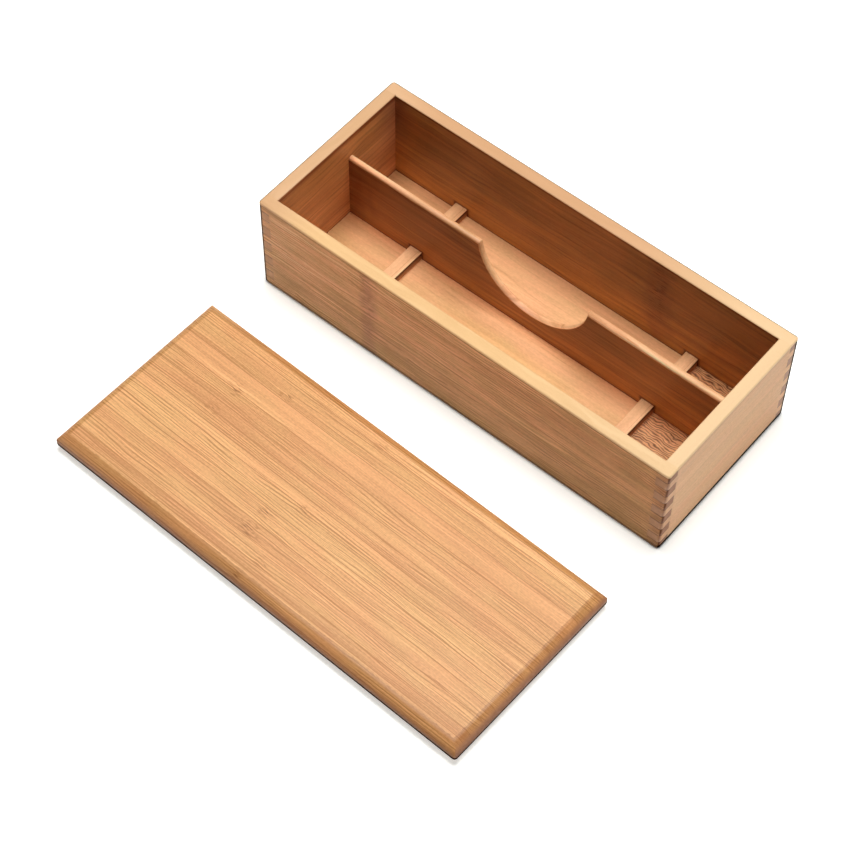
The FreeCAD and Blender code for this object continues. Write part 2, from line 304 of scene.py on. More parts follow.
def lay_strips(tree, width, look):
    """Tone, pinkness, seam and richness in threads of the laminated strip that lies at this width."""
    low, high = look["span"]
    strips = look.get("strips") or draw_strips(look)
    share = tree.math("DIVIDE", tree.minus(width, low), high - low)
    node = tree.add("ShaderNodeValToRGB", {0: share})
    stops = node.color_ramp.elements
    node.color_ramp.interpolation = "CONSTANT"
    stops.remove(stops[1])
    stops[0].position = 0.0
    stops[0].color = (strips[0][1], strips[0][2], 0.0, strips[0][3])
    for start, tone, pink, rich in strips[1:]:
        place = (start - low) / (high - low)
        stops.new(place).color = (tone, pink, 1.0, rich)
        stops.new(place + SEAM_WIDTH / (high - low)).color = (tone, pink, 0.0, rich)
    tone, pink, seam = tree.add("ShaderNodeSeparateColor", {0: node.outputs[0]}).outputs
    return tone, pink, seam, node.outputs[1]


def find_knots(tree, length, width, knots):
    """How deep a place lies in a node of the cane, and which way the fibres bend there."""
    depth, bend = 0.0, 0.0
    for middle, height, reach, spread, strength in knots:
        away = tree.vector("SUBTRACT", tree.combine(length, width), (middle, height, 0.0))
        away = tree.stretch(away, (reach, spread, 1.0))
        near = tree.ramp(tree.distance(away), 0.0, 1.0, strength, 0.0)
        depth = tree.most(depth, near)
        bend = tree.sum_up(bend, (near, tree.separate(away)[X]))
    return depth, bend


def lay_fibres(tree, board, look):
    """Where a place lies across the fibres, which wander and bend at nodes, and how deep in a node."""
    length, width, depth = board
    spot = tree.combine(*board)
    seed = look["seed"]
    knot, bend = find_knots(tree, length, width, look["knots"])
    drift = tree.noise(spot, DRIFT_SIZE, detail=1.0, seed=seed + 1)
    ripple = tree.noise(spot, look["ripple_size"], detail=1.0, seed=seed + 16)
    lay = tree.sum_up(
        width,
        (drift, look["wander"]),
        (ripple, look["ripple"]),
        (bend, look["bend"]),
        (depth, SLANT),
    )
    return lay, knot


def draw_threads(tree, length, lay, pitch, reach, seed):
    """Fine threads along the fibres, pitch apart, with pale flanks, each fading in and out alone."""
    sway_size = (SWAY_REACHES * reach, SWAY_PITCHES * pitch, 1.0)
    sway = tree.noise(tree.combine(length, lay), sway_size, detail=1.0, seed=seed)
    phase = tree.sum_up(tree.times(sway, SWAY), (lay, 1.0 / pitch))
    count = tree.math("FLOOR", phase)
    own = tree.random(tree.plus(count, seed))
    away = tree.size(tree.minus(tree.math("FRACT", phase), 0.5))
    core = tree.minus(tree.ramp(away, *CORE), tree.ramp(away, *FLANK))
    lane = tree.combine(length, tree.times(count, FADE_STEP * reach))
    fade = tree.noise(lane, (reach, reach, 1.0), detail=1.0, seed=seed + 1)
    strength = tree.sum_up(THREAD_WEAKEST, (own, 1.0 - THREAD_WEAKEST))
    return tree.times(core, tree.times(tree.rise(fade, THREAD_FADE), strength))


def draw_lines(tree, length, lay, rich, look):
    """Dark threads of two widths, and pale ones between them."""
    seed, pitch, reach = look["seed"], look["pitch"], look["reach"]
    coarse = draw_threads(tree, length, lay, pitch, reach, seed + 6)
    fine = draw_threads(tree, length, lay, FINE_PITCH * pitch, FINE_REACH * reach, seed + 8)
    light = draw_threads(tree, length, lay, LIGHT_PITCH * pitch, LIGHT_REACH * reach, seed + 10)
    return tree.times(coarse, rich), tree.times(fine, rich), light


def find_place(tree, turn):
    """Where a place lies and which way its face looks, in the row frame or a turned board's own."""
    place = tree.add("ShaderNodeTexCoord")
    spot = place.outputs["Object"]
    facing = place.outputs["Normal"]
    if turn:
        angle, centre = turn
        turned = {"Vector": spot, "Location": centre, "Rotation": (0.0, 0.0, angle)}
        spot = tree.add("ShaderNodeMapping", turned, vector_type="TEXTURE").outputs[0]
        turned = {"Vector": facing, "Rotation": (0.0, 0.0, angle)}
        facing = tree.add("ShaderNodeMapping", turned, vector_type="TEXTURE").outputs[0]
    return tree.separate(spot), tree.separate(facing)


def colour_board(tree, tone, pink, knot, base):
    """The board's colour from its tone and pinkness, with darker nodes."""
    rosy_base = toned(base, ROSIER)
    yellow = tree.blend(tone, toned(base, DEEPER), toned(base, PALER))
    rosy = tree.blend(tone, toned(rosy_base, DEEPER), toned(rosy_base, PALER))
    return tree.tint(tree.rise(knot, KNOT_FADE), tree.blend(pink, yellow, rosy), KNOT_SHADE)


def show_ends(tree, shade, cut_face, width, depth, look):
    """Cut ends, which show the fibres as dots."""
    cut = tree.rise(tree.size(cut_face), CUT_FACING)
    place = tree.combine(0.0, width, depth)
    dots = tree.noise(place, DOT_SIZE, detail=1.0, seed=look["seed"] + 14)
    band = tree.noise(place, END_BAND_SIZE, detail=1.0, seed=look["seed"] + 15)
    ends = tree.sum_up(END_START, (dots, DOT_CONTRAST), (band, END_BAND_CONTRAST))
    ends = tree.blend(ends, toned(look["end"], DEEPER), toned(look["end"], PALER))
    return tree.blend(cut, shade, ends)


def coat(tree, shade, relief, cloud, look):
    """The wood's surface: its colour, its fine relief and a soft gloss that varies with the clouds."""
    bump = {"Height": relief, "Strength": look["bump"], "Distance": RELIEF_DEPTH}
    brightness = tree.add("ShaderNodeRGBToBW", {0: shade}).outputs[0]
    inputs = {
        "Base Color": shade,
        "Roughness": tree.sum_up(look["roughness"], (cloud, GLOSS_CONTRAST)),
        "Normal": tree.add("ShaderNodeBump", bump).outputs[0],
        "IOR": WOOD_IOR,
        "Specular IOR Level": tree.ramp(brightness, *SHINE_FADE, 0.0, look["specular"]),
    }
    shader = tree.add("ShaderNodeBsdfPrincipled", inputs)
    tree.add("ShaderNodeOutputMaterial", {"Surface": shader.outputs[0]})


def bamboo(name, along, across, look):
    """Laminated bamboo: strips side by side across, with fibres that run along."""
    material = bpy.data.materials.new(name)
    tree = Tree(material)
    parts, faces = find_place(tree, look.get("turn"))
    board = (parts[along], parts[across], parts[3 - along - across])
    length, width, depth = board
    lay, knot = lay_fibres(tree, board, look)

    # Every pattern follows the fibres, and draws its noise from a seed of its own past the board's.
    grain = tree.combine(length, lay)
    seed = look["seed"]

    # Broad tone: strips differ, and clouds run along them.
    strip_tone, strip_pink, strip_seam, rich = lay_strips(tree, width, look)
    streak = tree.noise(grain, STREAK_SIZE, detail=1.0, seed=seed + 2)
    cloud = tree.noise(grain, CLOUD_SIZE, detail=1.0, seed=seed + 3)
    patch = tree.noise(grain, PATCH_SIZE, detail=1.0, seed=seed + 4)
    speck = tree.noise(tree.combine(length, lay, depth), SPECK_SIZE, seed=seed + 5)

    # Fine lines, on some boards in clumps.
    if "clump" in look:
        clump = tree.noise(tree.combine(*board), look["clump"], detail=1.0, seed=seed + 17)
        rich = tree.times(rich, tree.ramp(clump, *CLUMP_RANGE))
    coarse, fine, light = draw_lines(tree, length, lay, rich, look)
    seam = tree.times(strip_seam, tree.rise(cloud, SEAM_FADE))

    # Nodes are darker, with short dashes across the bend.
    dash = tree.noise(grain, DASH_SIZE, detail=1.0, seed=seed + 12)
    knot = tree.times(knot, tree.ramp(dash, *DASH_RANGE))

    # The noises vary round 0.5, so the tone starts where they bring it to the middle.
    noises = ("strip_contrast", "streak", "cloud", "speck", "blotch")
    tone = tree.sum_up(
        0.5 - 0.5 * sum(look[part] for part in noises),
        (strip_tone, look["strip_contrast"]),
        (streak, look["streak"]),
        (cloud, look["cloud"]),
        (speck, look["speck"]),
        (patch, look["blotch"]),
        (coarse, -look["coarse"]),
        (fine, -look["fine"]),
        (light, look["light"]),
        (seam, -look["seam"]),
        (knot, -look["knot"]),
    )
    blush = tree.rise(patch, BLUSH_FADE)
    pink = tree.sum_up(PINK_START, (strip_pink, STRIP_PINKNESS), (blush, look["blush"]))
    shade = colour_board(tree, tone, pink, knot, look["base"])
    shade = show_ends(tree, shade, faces[along], width, depth, look)
    shade = look["finish"](tree, shade, tone, parts, faces)
    # No wood gives back more light than it gets.
    shade = tree.blend(1.0, shade, WHOLE, "DARKEN")

    relief = tree.sum_up(0.0, (light, RIDGE), (coarse, HOLLOW), (seam, HOLLOW))
    coat(tree, shade, relief, cloud, look)
    return material


# ---------------------------------------------------------------- places on the CAD pieces
def span(start, end, origin=0.0):
    """Two places in metres, from how many millimetres past the origin they lie."""
    return (origin + start * MM, origin + end * MM)


BOX_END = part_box("front_wall")[1].x
BOX_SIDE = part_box("right_end_wall")[1].y
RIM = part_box("front_wall")[1].z
INNER_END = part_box("right_end_wall")[0].x
INNER_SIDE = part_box("back_wall")[0].y
FLOOR_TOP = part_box("floor_panel")[1].z
DIVIDER_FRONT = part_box("divider")[0].y
DIVIDER_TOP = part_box("divider")[1].z

REST_LOW, REST_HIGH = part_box("right_rest")
REST_PLACE = (REST_LOW.x + REST_HIGH.x) / 2
REST_HALF_WIDTH = (REST_HIGH.x - REST_LOW.x) / 2
REST_TOP = REST_HIGH.z

LID_LOW, LID_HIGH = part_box("lid")
LID_CENTRE = ((LID_LOW.x + LID_HIGH.x) / 2, (LID_LOW.y + LID_HIGH.y) / 2, 0.0)
LID_TURN = math.radians(-1.6)

END_WALL_FINGERS = 5
LONG_WALL_FINGERS = 6
FINGER_HEIGHT = RIM / (END_WALL_FINGERS + LONG_WALL_FINGERS)

# Which way a face looks, as spans of its normal's parts.
SIDEWAYS = (0.3, 0.6)
TO_THE_END = (0.3, 0.8)
DOWNWARDS = (-0.9, -0.6)

PAST_MIDDLE = span(0.0, 1.0)


def not_down(tree, faces):
    """0 where a face looks down at the table."""
    return tree.rise(faces[Z], DOWNWARDS)


# ---------------------------------------------------------------- finish of the walls
# Near-black painted contact shadow along the foot of the right end face and under the lid's near edges.
CONTACT_SHADOW_SHADE = (0.04, 0.03, 0.03, 1.0)
# Painted shade in the crease where the floor meets a wall or the divider.
FOLD_SHADOW_SHADE = (0.50, 0.42, 0.36, 1.0)
# Painted contact shadow round the rests.
REST_CONTACT_SHADOW_SHADE = (0.40, 0.30, 0.26, 1.0)
REST_SHADOW_REACH = span(0.2, 2.2)
FLOOR_FOLD_SHADOW_SPAN = span(0.5, 1.5, FLOOR_TOP)

FINGER_LINE = span(0.15, 0.55)
FINGER_LINE_SHADE = (0.52, 0.44, 0.40, 1.0)

# Dark bands: how far their edges stray and how wide their even core is, in shares of a band's
# reach, then the middle and reach of each.
BAND_RAG_SIZE = (10 * MM, 14 * MM, 1.0)
BAND_RAG = 1.6
BAND_CORE = 0.1
BAND_SEED = 901.0
BACK_BAND = (55 * MM, 12 * MM)
FRONT_BAND = (-59 * MM, 9 * MM)
# On the divider, a painted shadow in the corner at the left wall.
DIVIDER_CORNER_SHADOW_BAND = (-127 * MM, 22 * MM)
BACK_BAND_SHADE = (0.80, 0.74, 0.84, 1.0)
FRONT_BAND_SHADE = (0.84, 0.78, 0.86, 1.0)
DIVIDER_CORNER_SHADOW_SHADE = (0.72, 0.68, 0.76, 1.0)

# Painted shade on the inner faces, deeper upwards, with a painted shadow in the far left corner.
INSIDE_MARGIN = 0.5 * MM
INNER_RISE = span(2, 62)
# A painted shadow in the far left corner, stronger upwards.
LEFT_CORNER_SHADOW_ALONG = span(0.5, 15.5, -INNER_END)
LEFT_CORNER_SHADOW_ACROSS = span(-23, -1, INNER_SIDE)
LEFT_CORNER_SHADOW_SHADE = (0.66, 0.62, 0.80, 1.0)
INNER_LOW_PAINTED_SHADE = (0.78, 0.76, 0.52, 1.0)
INNER_HIGH_PAINTED_SHADE = (0.57, 0.42, 0.25, 1.0)
LEFT_INNER_LOW_PAINTED_SHADE = (0.94, 0.84, 0.84, 1.0)
LEFT_INNER_HIGH_PAINTED_SHADE = (0.86, 0.74, 0.60, 1.0)

# Painted shade on the rounded corners that turn away, measured by how far out a place lies along and
# across the box together.
TURNED_AWAY = span(-2.6, -1.7, BOX_END + BOX_SIDE)
FAR_CORNER_EXTRA = 0.9 * MM
FROM_LEFT = (-0.9, -0.75)
FROM_BACK = (0.75, 0.9)
TURNED_CORNER_PAINTED_SHADE = (0.14, 0.11, 0.09, 1.0)
FAR_CORNER_PAINTED_SHADE = (0.06, 0.055, 0.05, 1.0)
COLUMN = span(-0.5, 2.0, -INNER_SIDE)
COLUMN_EDGE = span(0.5, 2.5, -BOX_SIDE)
COLUMN_SHADE = (0.90, 0.88, 0.88, 1.0)
COLUMN_EDGE_SHADE = (0.66, 0.58, 0.56, 1.0)

# Painted shade under the rim, inside and out, and painted contact shadow along the foot.
UNDER_RIM_SHADOW_SPAN = span(-2.8, -1.6, RIM)
UNDER_RIM_END_SHADOW_SPAN = span(-5.5, -2.5, RIM)
UNDER_RIM_SHADOW_SHADE = (0.70, 0.63, 0.50, 1.0)
UNDER_RIM_END_SHADOW_SHADE = (0.87, 0.88, 0.83, 1.0)
INNER_RIM_SHADOW_SHADE = (0.66, 0.52, 0.46, 1.0)
FOOT_SHADOW_SPAN = span(2, 3)
FOOT_SHADOW_SHADE = (0.40, 0.38, 0.36, 1.0)
END_FOOT_SHADOW_SPAN = span(2.8, 3.6)

# The planed rim, a painted highlight on its near lips and a line of painted shade along its far sides.
RIM_TOP = span(-1.4, -1.0, RIM)
RIM_FACING = (0.1, 0.4)
NEAR_LIP_HIGHLIGHT_SPAN = span(-1.8, -1.2, RIM)
NEAR_LIP_HIGHLIGHT_EDGE = BOX_END - 0.6 * MM
RIM_FAR_SHADE_SPAN = span(-1.5, -1.0, RIM)
RIM_FAR_SHADE_FACING = (0.1, 0.35)
RIM_FAR_SHADE_INSET = 0.7 * MM
RIM_FAR_SHADE_SOFT = 0.2 * MM
RIM_TO_RIGHT = span(20, 135)
RIM_TO_BACK = span(-50, 50)
RIM_TO_LEFT = span(-136, -90)
RIM_FRONT = colour(248, 204, 148)
RIM_RIGHT = colour(247, 209, 160)
RIM_BACK = colour(220, 170, 124)
RIM_LEFT = colour(228, 182, 137)
RIM_DEEPER = (0.90, 0.87, 0.82, 1.0)
RIM_FAR_EDGE_PAINTED_SHADE = (0.12, 0.12, 0.11, 1.0)

# Painted shade on the front wall's outer face, deeper to the right and downwards; it is darker too at
# the near corner.
FRONT_FACING = (-0.7, -0.3)
FRONT_TO_RIGHT = span(-135, 150)
FRONT_TO_TOP = span(0, 40)
FRONT_CORNER = span(-11, -2, BOX_END)
FRONT_RIGHT_PAINTED_SHADE = (0.77, 0.72, 0.61, 1.0)
FRONT_LOW_PAINTED_SHADE = (0.82, 0.84, 0.80, 1.0)
FRONT_CORNER_SHADE = (0.74, 0.67, 0.67, 1.0)


def shadow_round_rests(tree, shade, parts):
    """Painted contact shadow on a board round the ends of the two rests."""
    aside = tree.size(tree.minus(tree.size(parts[X]), REST_PLACE))
    past_side = tree.minus(aside, REST_HALF_WIDTH)
    past_top = tree.minus(parts[Z], REST_TOP)
    near = tree.fall(tree.most(past_side, past_top), REST_SHADOW_REACH)
    return tree.tint(near, shade, REST_CONTACT_SHADOW_SHADE)


def draw_joints(tree, shade, parts):
    """Fine dark lines between the interlocking fingers of the box's corners."""
    fingers = tree.math("DIVIDE", parts[Z], FINGER_HEIGHT)
    gap = tree.times(tree.math("PINGPONG", fingers, 0.5), FINGER_HEIGHT)
    at_end = tree.past(tree.size(parts[X]), INNER_END)
    at_side = tree.past(tree.size(parts[Y]), INNER_SIDE)
    line = tree.times(tree.fall(gap, FINGER_LINE), at_end, at_side)
    return tree.tint(line, shade, FINGER_LINE_SHADE)


def darken_band(tree, shade, parts, band, factor):
    """A ragged darker upright band across the fibres: the canes' nodes on the walls, a painted corner
    shadow on the divider.
    """
    middle, reach = band
    flat = tree.combine(parts[X], parts[Z])
    ragged = tree.noise(flat, BAND_RAG_SIZE, detail=1.0, seed=BAND_SEED)
    place = tree.sum_up(parts[X], (tree.minus(ragged, 0.5), BAND_RAG * reach))
    away = tree.size(tree.minus(place, middle))
    return tree.tint(tree.fall(away, (BAND_CORE * reach, reach)), shade, factor)


def shade_inside(tree, shade, parts, low_shade, high_shade):
    """A wall's inner face under painted shade, deeper upwards, with painted shadows in the crease along
    the floor, in the far left corner and round the rests.
    """
    height = tree.rise(parts[Z], INNER_RISE)
    level = tree.blend(height, low_shade, high_shade)
    level = tree.tint(tree.fall(parts[Z], FLOOR_FOLD_SHADOW_SPAN), level, FOLD_SHADOW_SHADE)
    corner_shadow = tree.times(tree.fall(parts[X], LEFT_CORNER_SHADOW_ALONG), tree.rise(parts[Y], LEFT_CORNER_SHADOW_ACROSS), height)
    level = tree.tint(corner_shadow, level, LEFT_CORNER_SHADOW_SHADE)
    return shadow_round_rests(tree, tree.tint(1.0, shade, level), parts)


def darken_corners(tree, shade, parts, faces, end_face):
    """Painted shade on the two outer corners that turn away; the near corner's fingers on the end face
    are darker.
    """
    shade = tree.tint(tree.times(end_face, tree.fall(parts[Y], COLUMN)), shade, COLUMN_SHADE)
    column_edge = tree.times(end_face, tree.fall(parts[Y], COLUMN_EDGE))
    shade = tree.tint(column_edge, shade, COLUMN_EDGE_SHADE)

    on_right = tree.rise(parts[X], PAST_MIDDLE)
    far_right = tree.times(on_right, tree.rise(parts[Y], PAST_MIDDLE))
    spread = tree.plus(tree.size(parts[X]), tree.size(parts[Y]))
    spread = tree.sum_up(spread, (far_right, FAR_CORNER_EXTRA))
    far_right = tree.times(far_right, tree.fall(faces[Y], FROM_BACK))
    near_left = tree.times(tree.fall(parts[X], PAST_MIDDLE), tree.fall(parts[Y], PAST_MIDDLE))
    near_left = tree.times(near_left, tree.rise(faces[X], FROM_LEFT))
    turned = tree.times(tree.rise(spread, TURNED_AWAY), tree.most(near_left, far_right))
    return tree.tint(turned, shade, tree.blend(on_right, TURNED_CORNER_PAINTED_SHADE, FAR_CORNER_PAINTED_SHADE))


def paint_rim_and_foot_shadows(tree, shade, parts, faces, end_face, inside):
    """Painted shade under the rim, inside and out, and painted contact shadow along the foot."""
    under_end = tree.times(end_face, tree.rise(parts[Z], UNDER_RIM_END_SHADOW_SPAN))
    under = tree.most(tree.rise(parts[Z], UNDER_RIM_SHADOW_SPAN), under_end)
    line = tree.blend(end_face, UNDER_RIM_SHADOW_SHADE, UNDER_RIM_END_SHADOW_SHADE)
    shade = tree.tint(under, shade, tree.blend(inside, line, INNER_RIM_SHADOW_SHADE))
    foot = tree.times(tree.fall(parts[Z], FOOT_SHADOW_SPAN), not_down(tree, faces))
    shade = tree.tint(foot, shade, FOOT_SHADOW_SHADE)
    end_foot = tree.times(end_face, tree.fall(parts[Z], END_FOOT_SHADOW_SPAN))
    return tree.tint(end_foot, shade, CONTACT_SHADOW_SHADE)


def rim_tone(tree, parts):
    """Tone of the planed rim: palest at the right, rosier to the left, deeper at the back."""
    tone = tree.blend(tree.rise(parts[Y], RIM_TO_BACK), RIM_FRONT, RIM_BACK)
    tone = tree.blend(tree.fall(parts[X], RIM_TO_LEFT), tone, RIM_LEFT)
    return tree.blend(tree.rise(parts[X], RIM_TO_RIGHT), tone, RIM_RIGHT)


def plane_rim(tree, shade, tone, parts, faces):
    """The pale planed rim, with a painted highlight on its near lips, and a line of painted shade along
    its far sides.
    """
    planed = rim_tone(tree, parts)
    planed = tree.blend(tone, tree.tint(1.0, planed, RIM_DEEPER), planed)
    top = tree.times(tree.rise(faces[Z], RIM_FACING), tree.rise(parts[Z], RIM_TOP))
    near_highlight = tree.most(parts[X], tree.minus(BOX_END - BOX_SIDE, parts[Y]))
    near_highlight = tree.times(tree.past(near_highlight, NEAR_LIP_HIGHLIGHT_EDGE), tree.rise(parts[Z], NEAR_LIP_HIGHLIGHT_SPAN))
    shade = tree.blend(tree.most(top, near_highlight), shade, planed)

    at_left = tree.past(tree.times(parts[X], -1.0), BOX_END - RIM_FAR_SHADE_INSET, RIM_FAR_SHADE_SOFT)
    at_back = tree.past(parts[Y], BOX_SIDE - RIM_FAR_SHADE_INSET, RIM_FAR_SHADE_SOFT)
    far_side = tree.times(tree.most(at_left, at_back), tree.rise(parts[Z], RIM_FAR_SHADE_SPAN))
    far_side = tree.times(far_side, tree.rise(faces[Z], RIM_FAR_SHADE_FACING))
    return tree.tint(far_side, shade, RIM_FAR_EDGE_PAINTED_SHADE)


def finish_wall(painted_low, painted_high):
    """A wall: pale planed rim with a painted highlight and shade at its edges, painted shade on its
    inner face, under its rim and on its turned-away corners, jointed corners, and a painted contact
    shadow along its foot.
    """

    def finish(tree, shade, tone, parts, faces):
        upright = tree.fall(tree.size(faces[Z]), SIDEWAYS)
        off_end = tree.past(tree.size(parts[X]), INNER_END + INSIDE_MARGIN)
        off_side = tree.past(tree.size(parts[Y]), INNER_SIDE + INSIDE_MARGIN)
        inside = tree.times(tree.minus(1.0, off_end), tree.minus(1.0, off_side), upright)
        end_face = tree.rise(faces[X], TO_THE_END)
        indoors = shade_inside(tree, shade, parts, painted_low, painted_high)
        shade = tree.blend(inside, draw_joints(tree, shade, parts), indoors)
        shade = darken_corners(tree, shade, parts, faces, end_face)
        shade = paint_rim_and_foot_shadows(tree, shade, parts, faces, end_face, inside)
        return plane_rim(tree, shade, tone, parts, faces)

    return finish


finish_wall_deep_inner_shade = finish_wall(INNER_LOW_PAINTED_SHADE, INNER_HIGH_PAINTED_SHADE)
finish_wall_light_inner_shade = finish_wall(LEFT_INNER_LOW_PAINTED_SHADE, LEFT_INNER_HIGH_PAINTED_SHADE)


def finish_back(tree, shade, tone, parts, faces):
    """The back wall, with the nodes of its canes in one band."""
    shade = darken_band(tree, shade, parts, BACK_BAND, BACK_BAND_SHADE)
    return finish_wall_deep_inner_shade(tree, shade, tone, parts, faces)


def finish_front(tree, shade, tone, parts, faces):
    """The front wall: painted shade deepens its outer face to the right and downwards."""
    level = tree.blend(tree.rise(parts[X], FRONT_TO_RIGHT), WHOLE, FRONT_RIGHT_PAINTED_SHADE)
    level = tree.tint(tree.fall(parts[Z], FRONT_TO_TOP), level, FRONT_LOW_PAINTED_SHADE)
    level = tree.tint(tree.rise(parts[X], FRONT_CORNER), level, FRONT_CORNER_SHADE)
    shade = tree.tint(tree.fall(faces[Y], FRONT_FACING), shade, level)
    shade = darken_band(tree, shade, parts, FRONT_BAND, FRONT_BAND_SHADE)
    return finish_wall_deep_inner_shade(tree, shade, tone, parts, faces)


# ---------------------------------------------------------------- finish of the lid
# Where the lid's rounded edges start, from its centre, and how far that line strays.
LID_CREASE_X = 132.6 * MM
LID_CREASE_Y = 53.1 * MM
CREASE_RAG_SIZE = (3 * MM, 3 * MM, 1.0)
CREASE_RAG = 3.5 * MM
CREASE_SEED = 911.0

# The lid's edges: their own darker tone with painted shade, strongest on the near sides and low down.
LID_EDGE_RISE = span(6, 11)
LID_FAR_EDGE_TONE_AND_SHADE = (0.80, 0.77, 0.67, 1.0)
LID_NEAR_EDGE_HIGH_TONE_AND_SHADE = (0.72, 0.65, 0.57, 1.0)
LID_NEAR_EDGE_LOW_TONE_AND_SHADE = (0.47, 0.35, 0.28, 1.0)
# A painted shadow under the near edges.
LID_UNDER_SHADOW_SPAN = span(5.2, 6.6)
# A painted highlight along the far crest.
CREST_START = span(-6.1, -2.1, LID_CREASE_Y)
CREST_END = span(-0.7, 0.1, LID_CREASE_Y)
CREST_HIGHLIGHT = (1.12, 1.15, 1.17, 1.0)


def finish_lid(tree, shade, tone, parts, faces):
    """The lid: its edges are darker than its top, in their own tone and by painted shade, more so low
    down and at the near sides; a painted highlight runs along the far crest and a painted shadow under
    the near edges.
    """
    flat = tree.combine(parts[X], parts[Y])
    ragged = tree.noise(flat, CREASE_RAG_SIZE, detail=2.0, seed=CREASE_SEED)
    ragged = tree.times(tree.minus(ragged, 0.5), CREASE_RAG)
    near_end = tree.past(tree.plus(parts[X], ragged), LID_CREASE_X)
    near_front = tree.past(tree.minus(ragged, parts[Y]), LID_CREASE_Y)
    near = tree.most(near_end, near_front)
    at_end = tree.past(tree.size(parts[X]), LID_CREASE_X)
    at_side = tree.past(tree.size(parts[Y]), LID_CREASE_Y)
    edge = tree.blend(tree.fall(parts[Z], LID_EDGE_RISE), LID_NEAR_EDGE_HIGH_TONE_AND_SHADE, LID_NEAR_EDGE_LOW_TONE_AND_SHADE)
    edge = tree.blend(near, LID_FAR_EDGE_TONE_AND_SHADE, edge)
    shade = tree.tint(tree.most(at_end, at_side, near), shade, edge)
    crest = tree.times(tree.rise(parts[Y], CREST_START), tree.fall(parts[Y], CREST_END))
    shade = tree.tint(crest, shade, CREST_HIGHLIGHT)
    under = tree.times(tree.fall(parts[Z], LID_UNDER_SHADOW_SPAN), not_down(tree, faces), near)
    return tree.tint(under, shade, CONTACT_SHADOW_SHADE)


# ---------------------------------------------------------------- finish of the divider
DIVIDER_SIDEWAYS = (0.90, 0.99)
DIVIDER_SIDE_TOP = span(-1.8, -1.2, DIVIDER_TOP)
DIVIDER_SIDE_FALL = 0.8 * MM
DIVIDER_FALL_SPAN = span(20, 60)
DIVIDER_ARRIS_FACING = (-0.6, -0.2)
DIVIDER_TO_LEFT = span(-30, 20)
DIVIDER_NEAR_EDGE = span(-0.1, 2.3, DIVIDER_FRONT)
DIVIDER_REAR_EDGE = span(2.3, 2.9, DIVIDER_FRONT)
DIVIDER_RISE = span(2, 44)
DIVIDER_TO_RIGHT = span(20, 100)
# Painted shade on the divider's sides, deeper upwards and lifted by painted light to the right; painted
# highlights on its front arris and the rear of its top.
DIVIDER_LOW_PAINTED_SHADE = (0.56, 0.49, 0.29, 1.0)
DIVIDER_HIGH_PAINTED_SHADE = (0.40, 0.30, 0.155, 1.0)
DIVIDER_ARRIS_HIGHLIGHT = (1.28, 1.32, 1.38, 1.0)
DIVIDER_LEFT_SHADE = (0.50, 0.44, 0.38, 1.0)
DIVIDER_REAR_HIGHLIGHT = (1.16, 1.22, 1.24, 1.0)
DIVIDER_RIGHT_PAINTED_LIGHT = (1.47, 1.62, 1.64, 1.0)


def finish_divider(tree, shade, tone, parts, faces):
    """The divider: painted shade on its sides, deeper upwards and lifted by painted light to the right;
    painted highlights on its rounded front arris and the rear of its top; the front of its top is
    darker at the left.
    """
    fall = tree.rise(parts[X], DIVIDER_FALL_SPAN)
    height = tree.sum_up(parts[Z], (fall, DIVIDER_SIDE_FALL))
    side = tree.rise(tree.size(faces[Y]), DIVIDER_SIDEWAYS)
    side = tree.times(side, tree.fall(height, DIVIDER_SIDE_TOP))

    edge = tree.minus(1.0, side)
    arris = tree.times(tree.fall(faces[Y], DIVIDER_ARRIS_FACING), edge)
    shade = tree.tint(arris, shade, DIVIDER_ARRIS_HIGHLIGHT)
    rear = tree.times(tree.rise(parts[Y], DIVIDER_REAR_EDGE), edge)
    shade = tree.tint(rear, shade, DIVIDER_REAR_HIGHLIGHT)
    left = tree.times(tree.fall(parts[X], DIVIDER_TO_LEFT), tree.fall(parts[Y], DIVIDER_NEAR_EDGE))
    shade = tree.tint(tree.times(left, edge), shade, DIVIDER_LEFT_SHADE)

    level = tree.blend(tree.rise(parts[Z], DIVIDER_RISE), DIVIDER_LOW_PAINTED_SHADE, DIVIDER_HIGH_PAINTED_SHADE)
    level = tree.tint(tree.rise(parts[X], DIVIDER_TO_RIGHT), level, DIVIDER_RIGHT_PAINTED_LIGHT)
    # A painted shadow in the divider's corner at the left wall.
    level = darken_band(tree, level, parts, DIVIDER_CORNER_SHADOW_BAND, DIVIDER_CORNER_SHADOW_SHADE)
    level = tree.tint(tree.fall(parts[Z], FLOOR_FOLD_SHADOW_SPAN), level, FOLD_SHADOW_SHADE)
    return shadow_round_rests(tree, tree.tint(side, shade, level), parts)


# ---------------------------------------------------------------- finish of the floor
# Painted shade on the floor near both end walls.
FLOOR_TO_END = span(95, 135)
FLOOR_END_PAINTED_SHADE = (0.76, 0.68, 0.58, 1.0)
FLOOR_TO_LEFT = span(-135, -88)
FLOOR_LEFT_PAINTED_SHADE = (0.76, 0.74, 0.66, 1.0)
# A thin painted contact shadow on the floor, just short of the rest.
REST_SHADOW_PLACE = REST_LOW.x - 0.41 * MM
REST_SHADOW_LINE = span(0.3, 0.9)
# Painted light on the floor just in front of the divider, where its shadow falls.
BY_DIVIDER = span(-8.5, 0.0, DIVIDER_FRONT)
UNDER_DIVIDER = span(0.0, 0.5, DIVIDER_FRONT)
FLOOR_PAINTED_LIGHT_BY_DIVIDER = (1.22, 1.16, 1.14, 1.0)
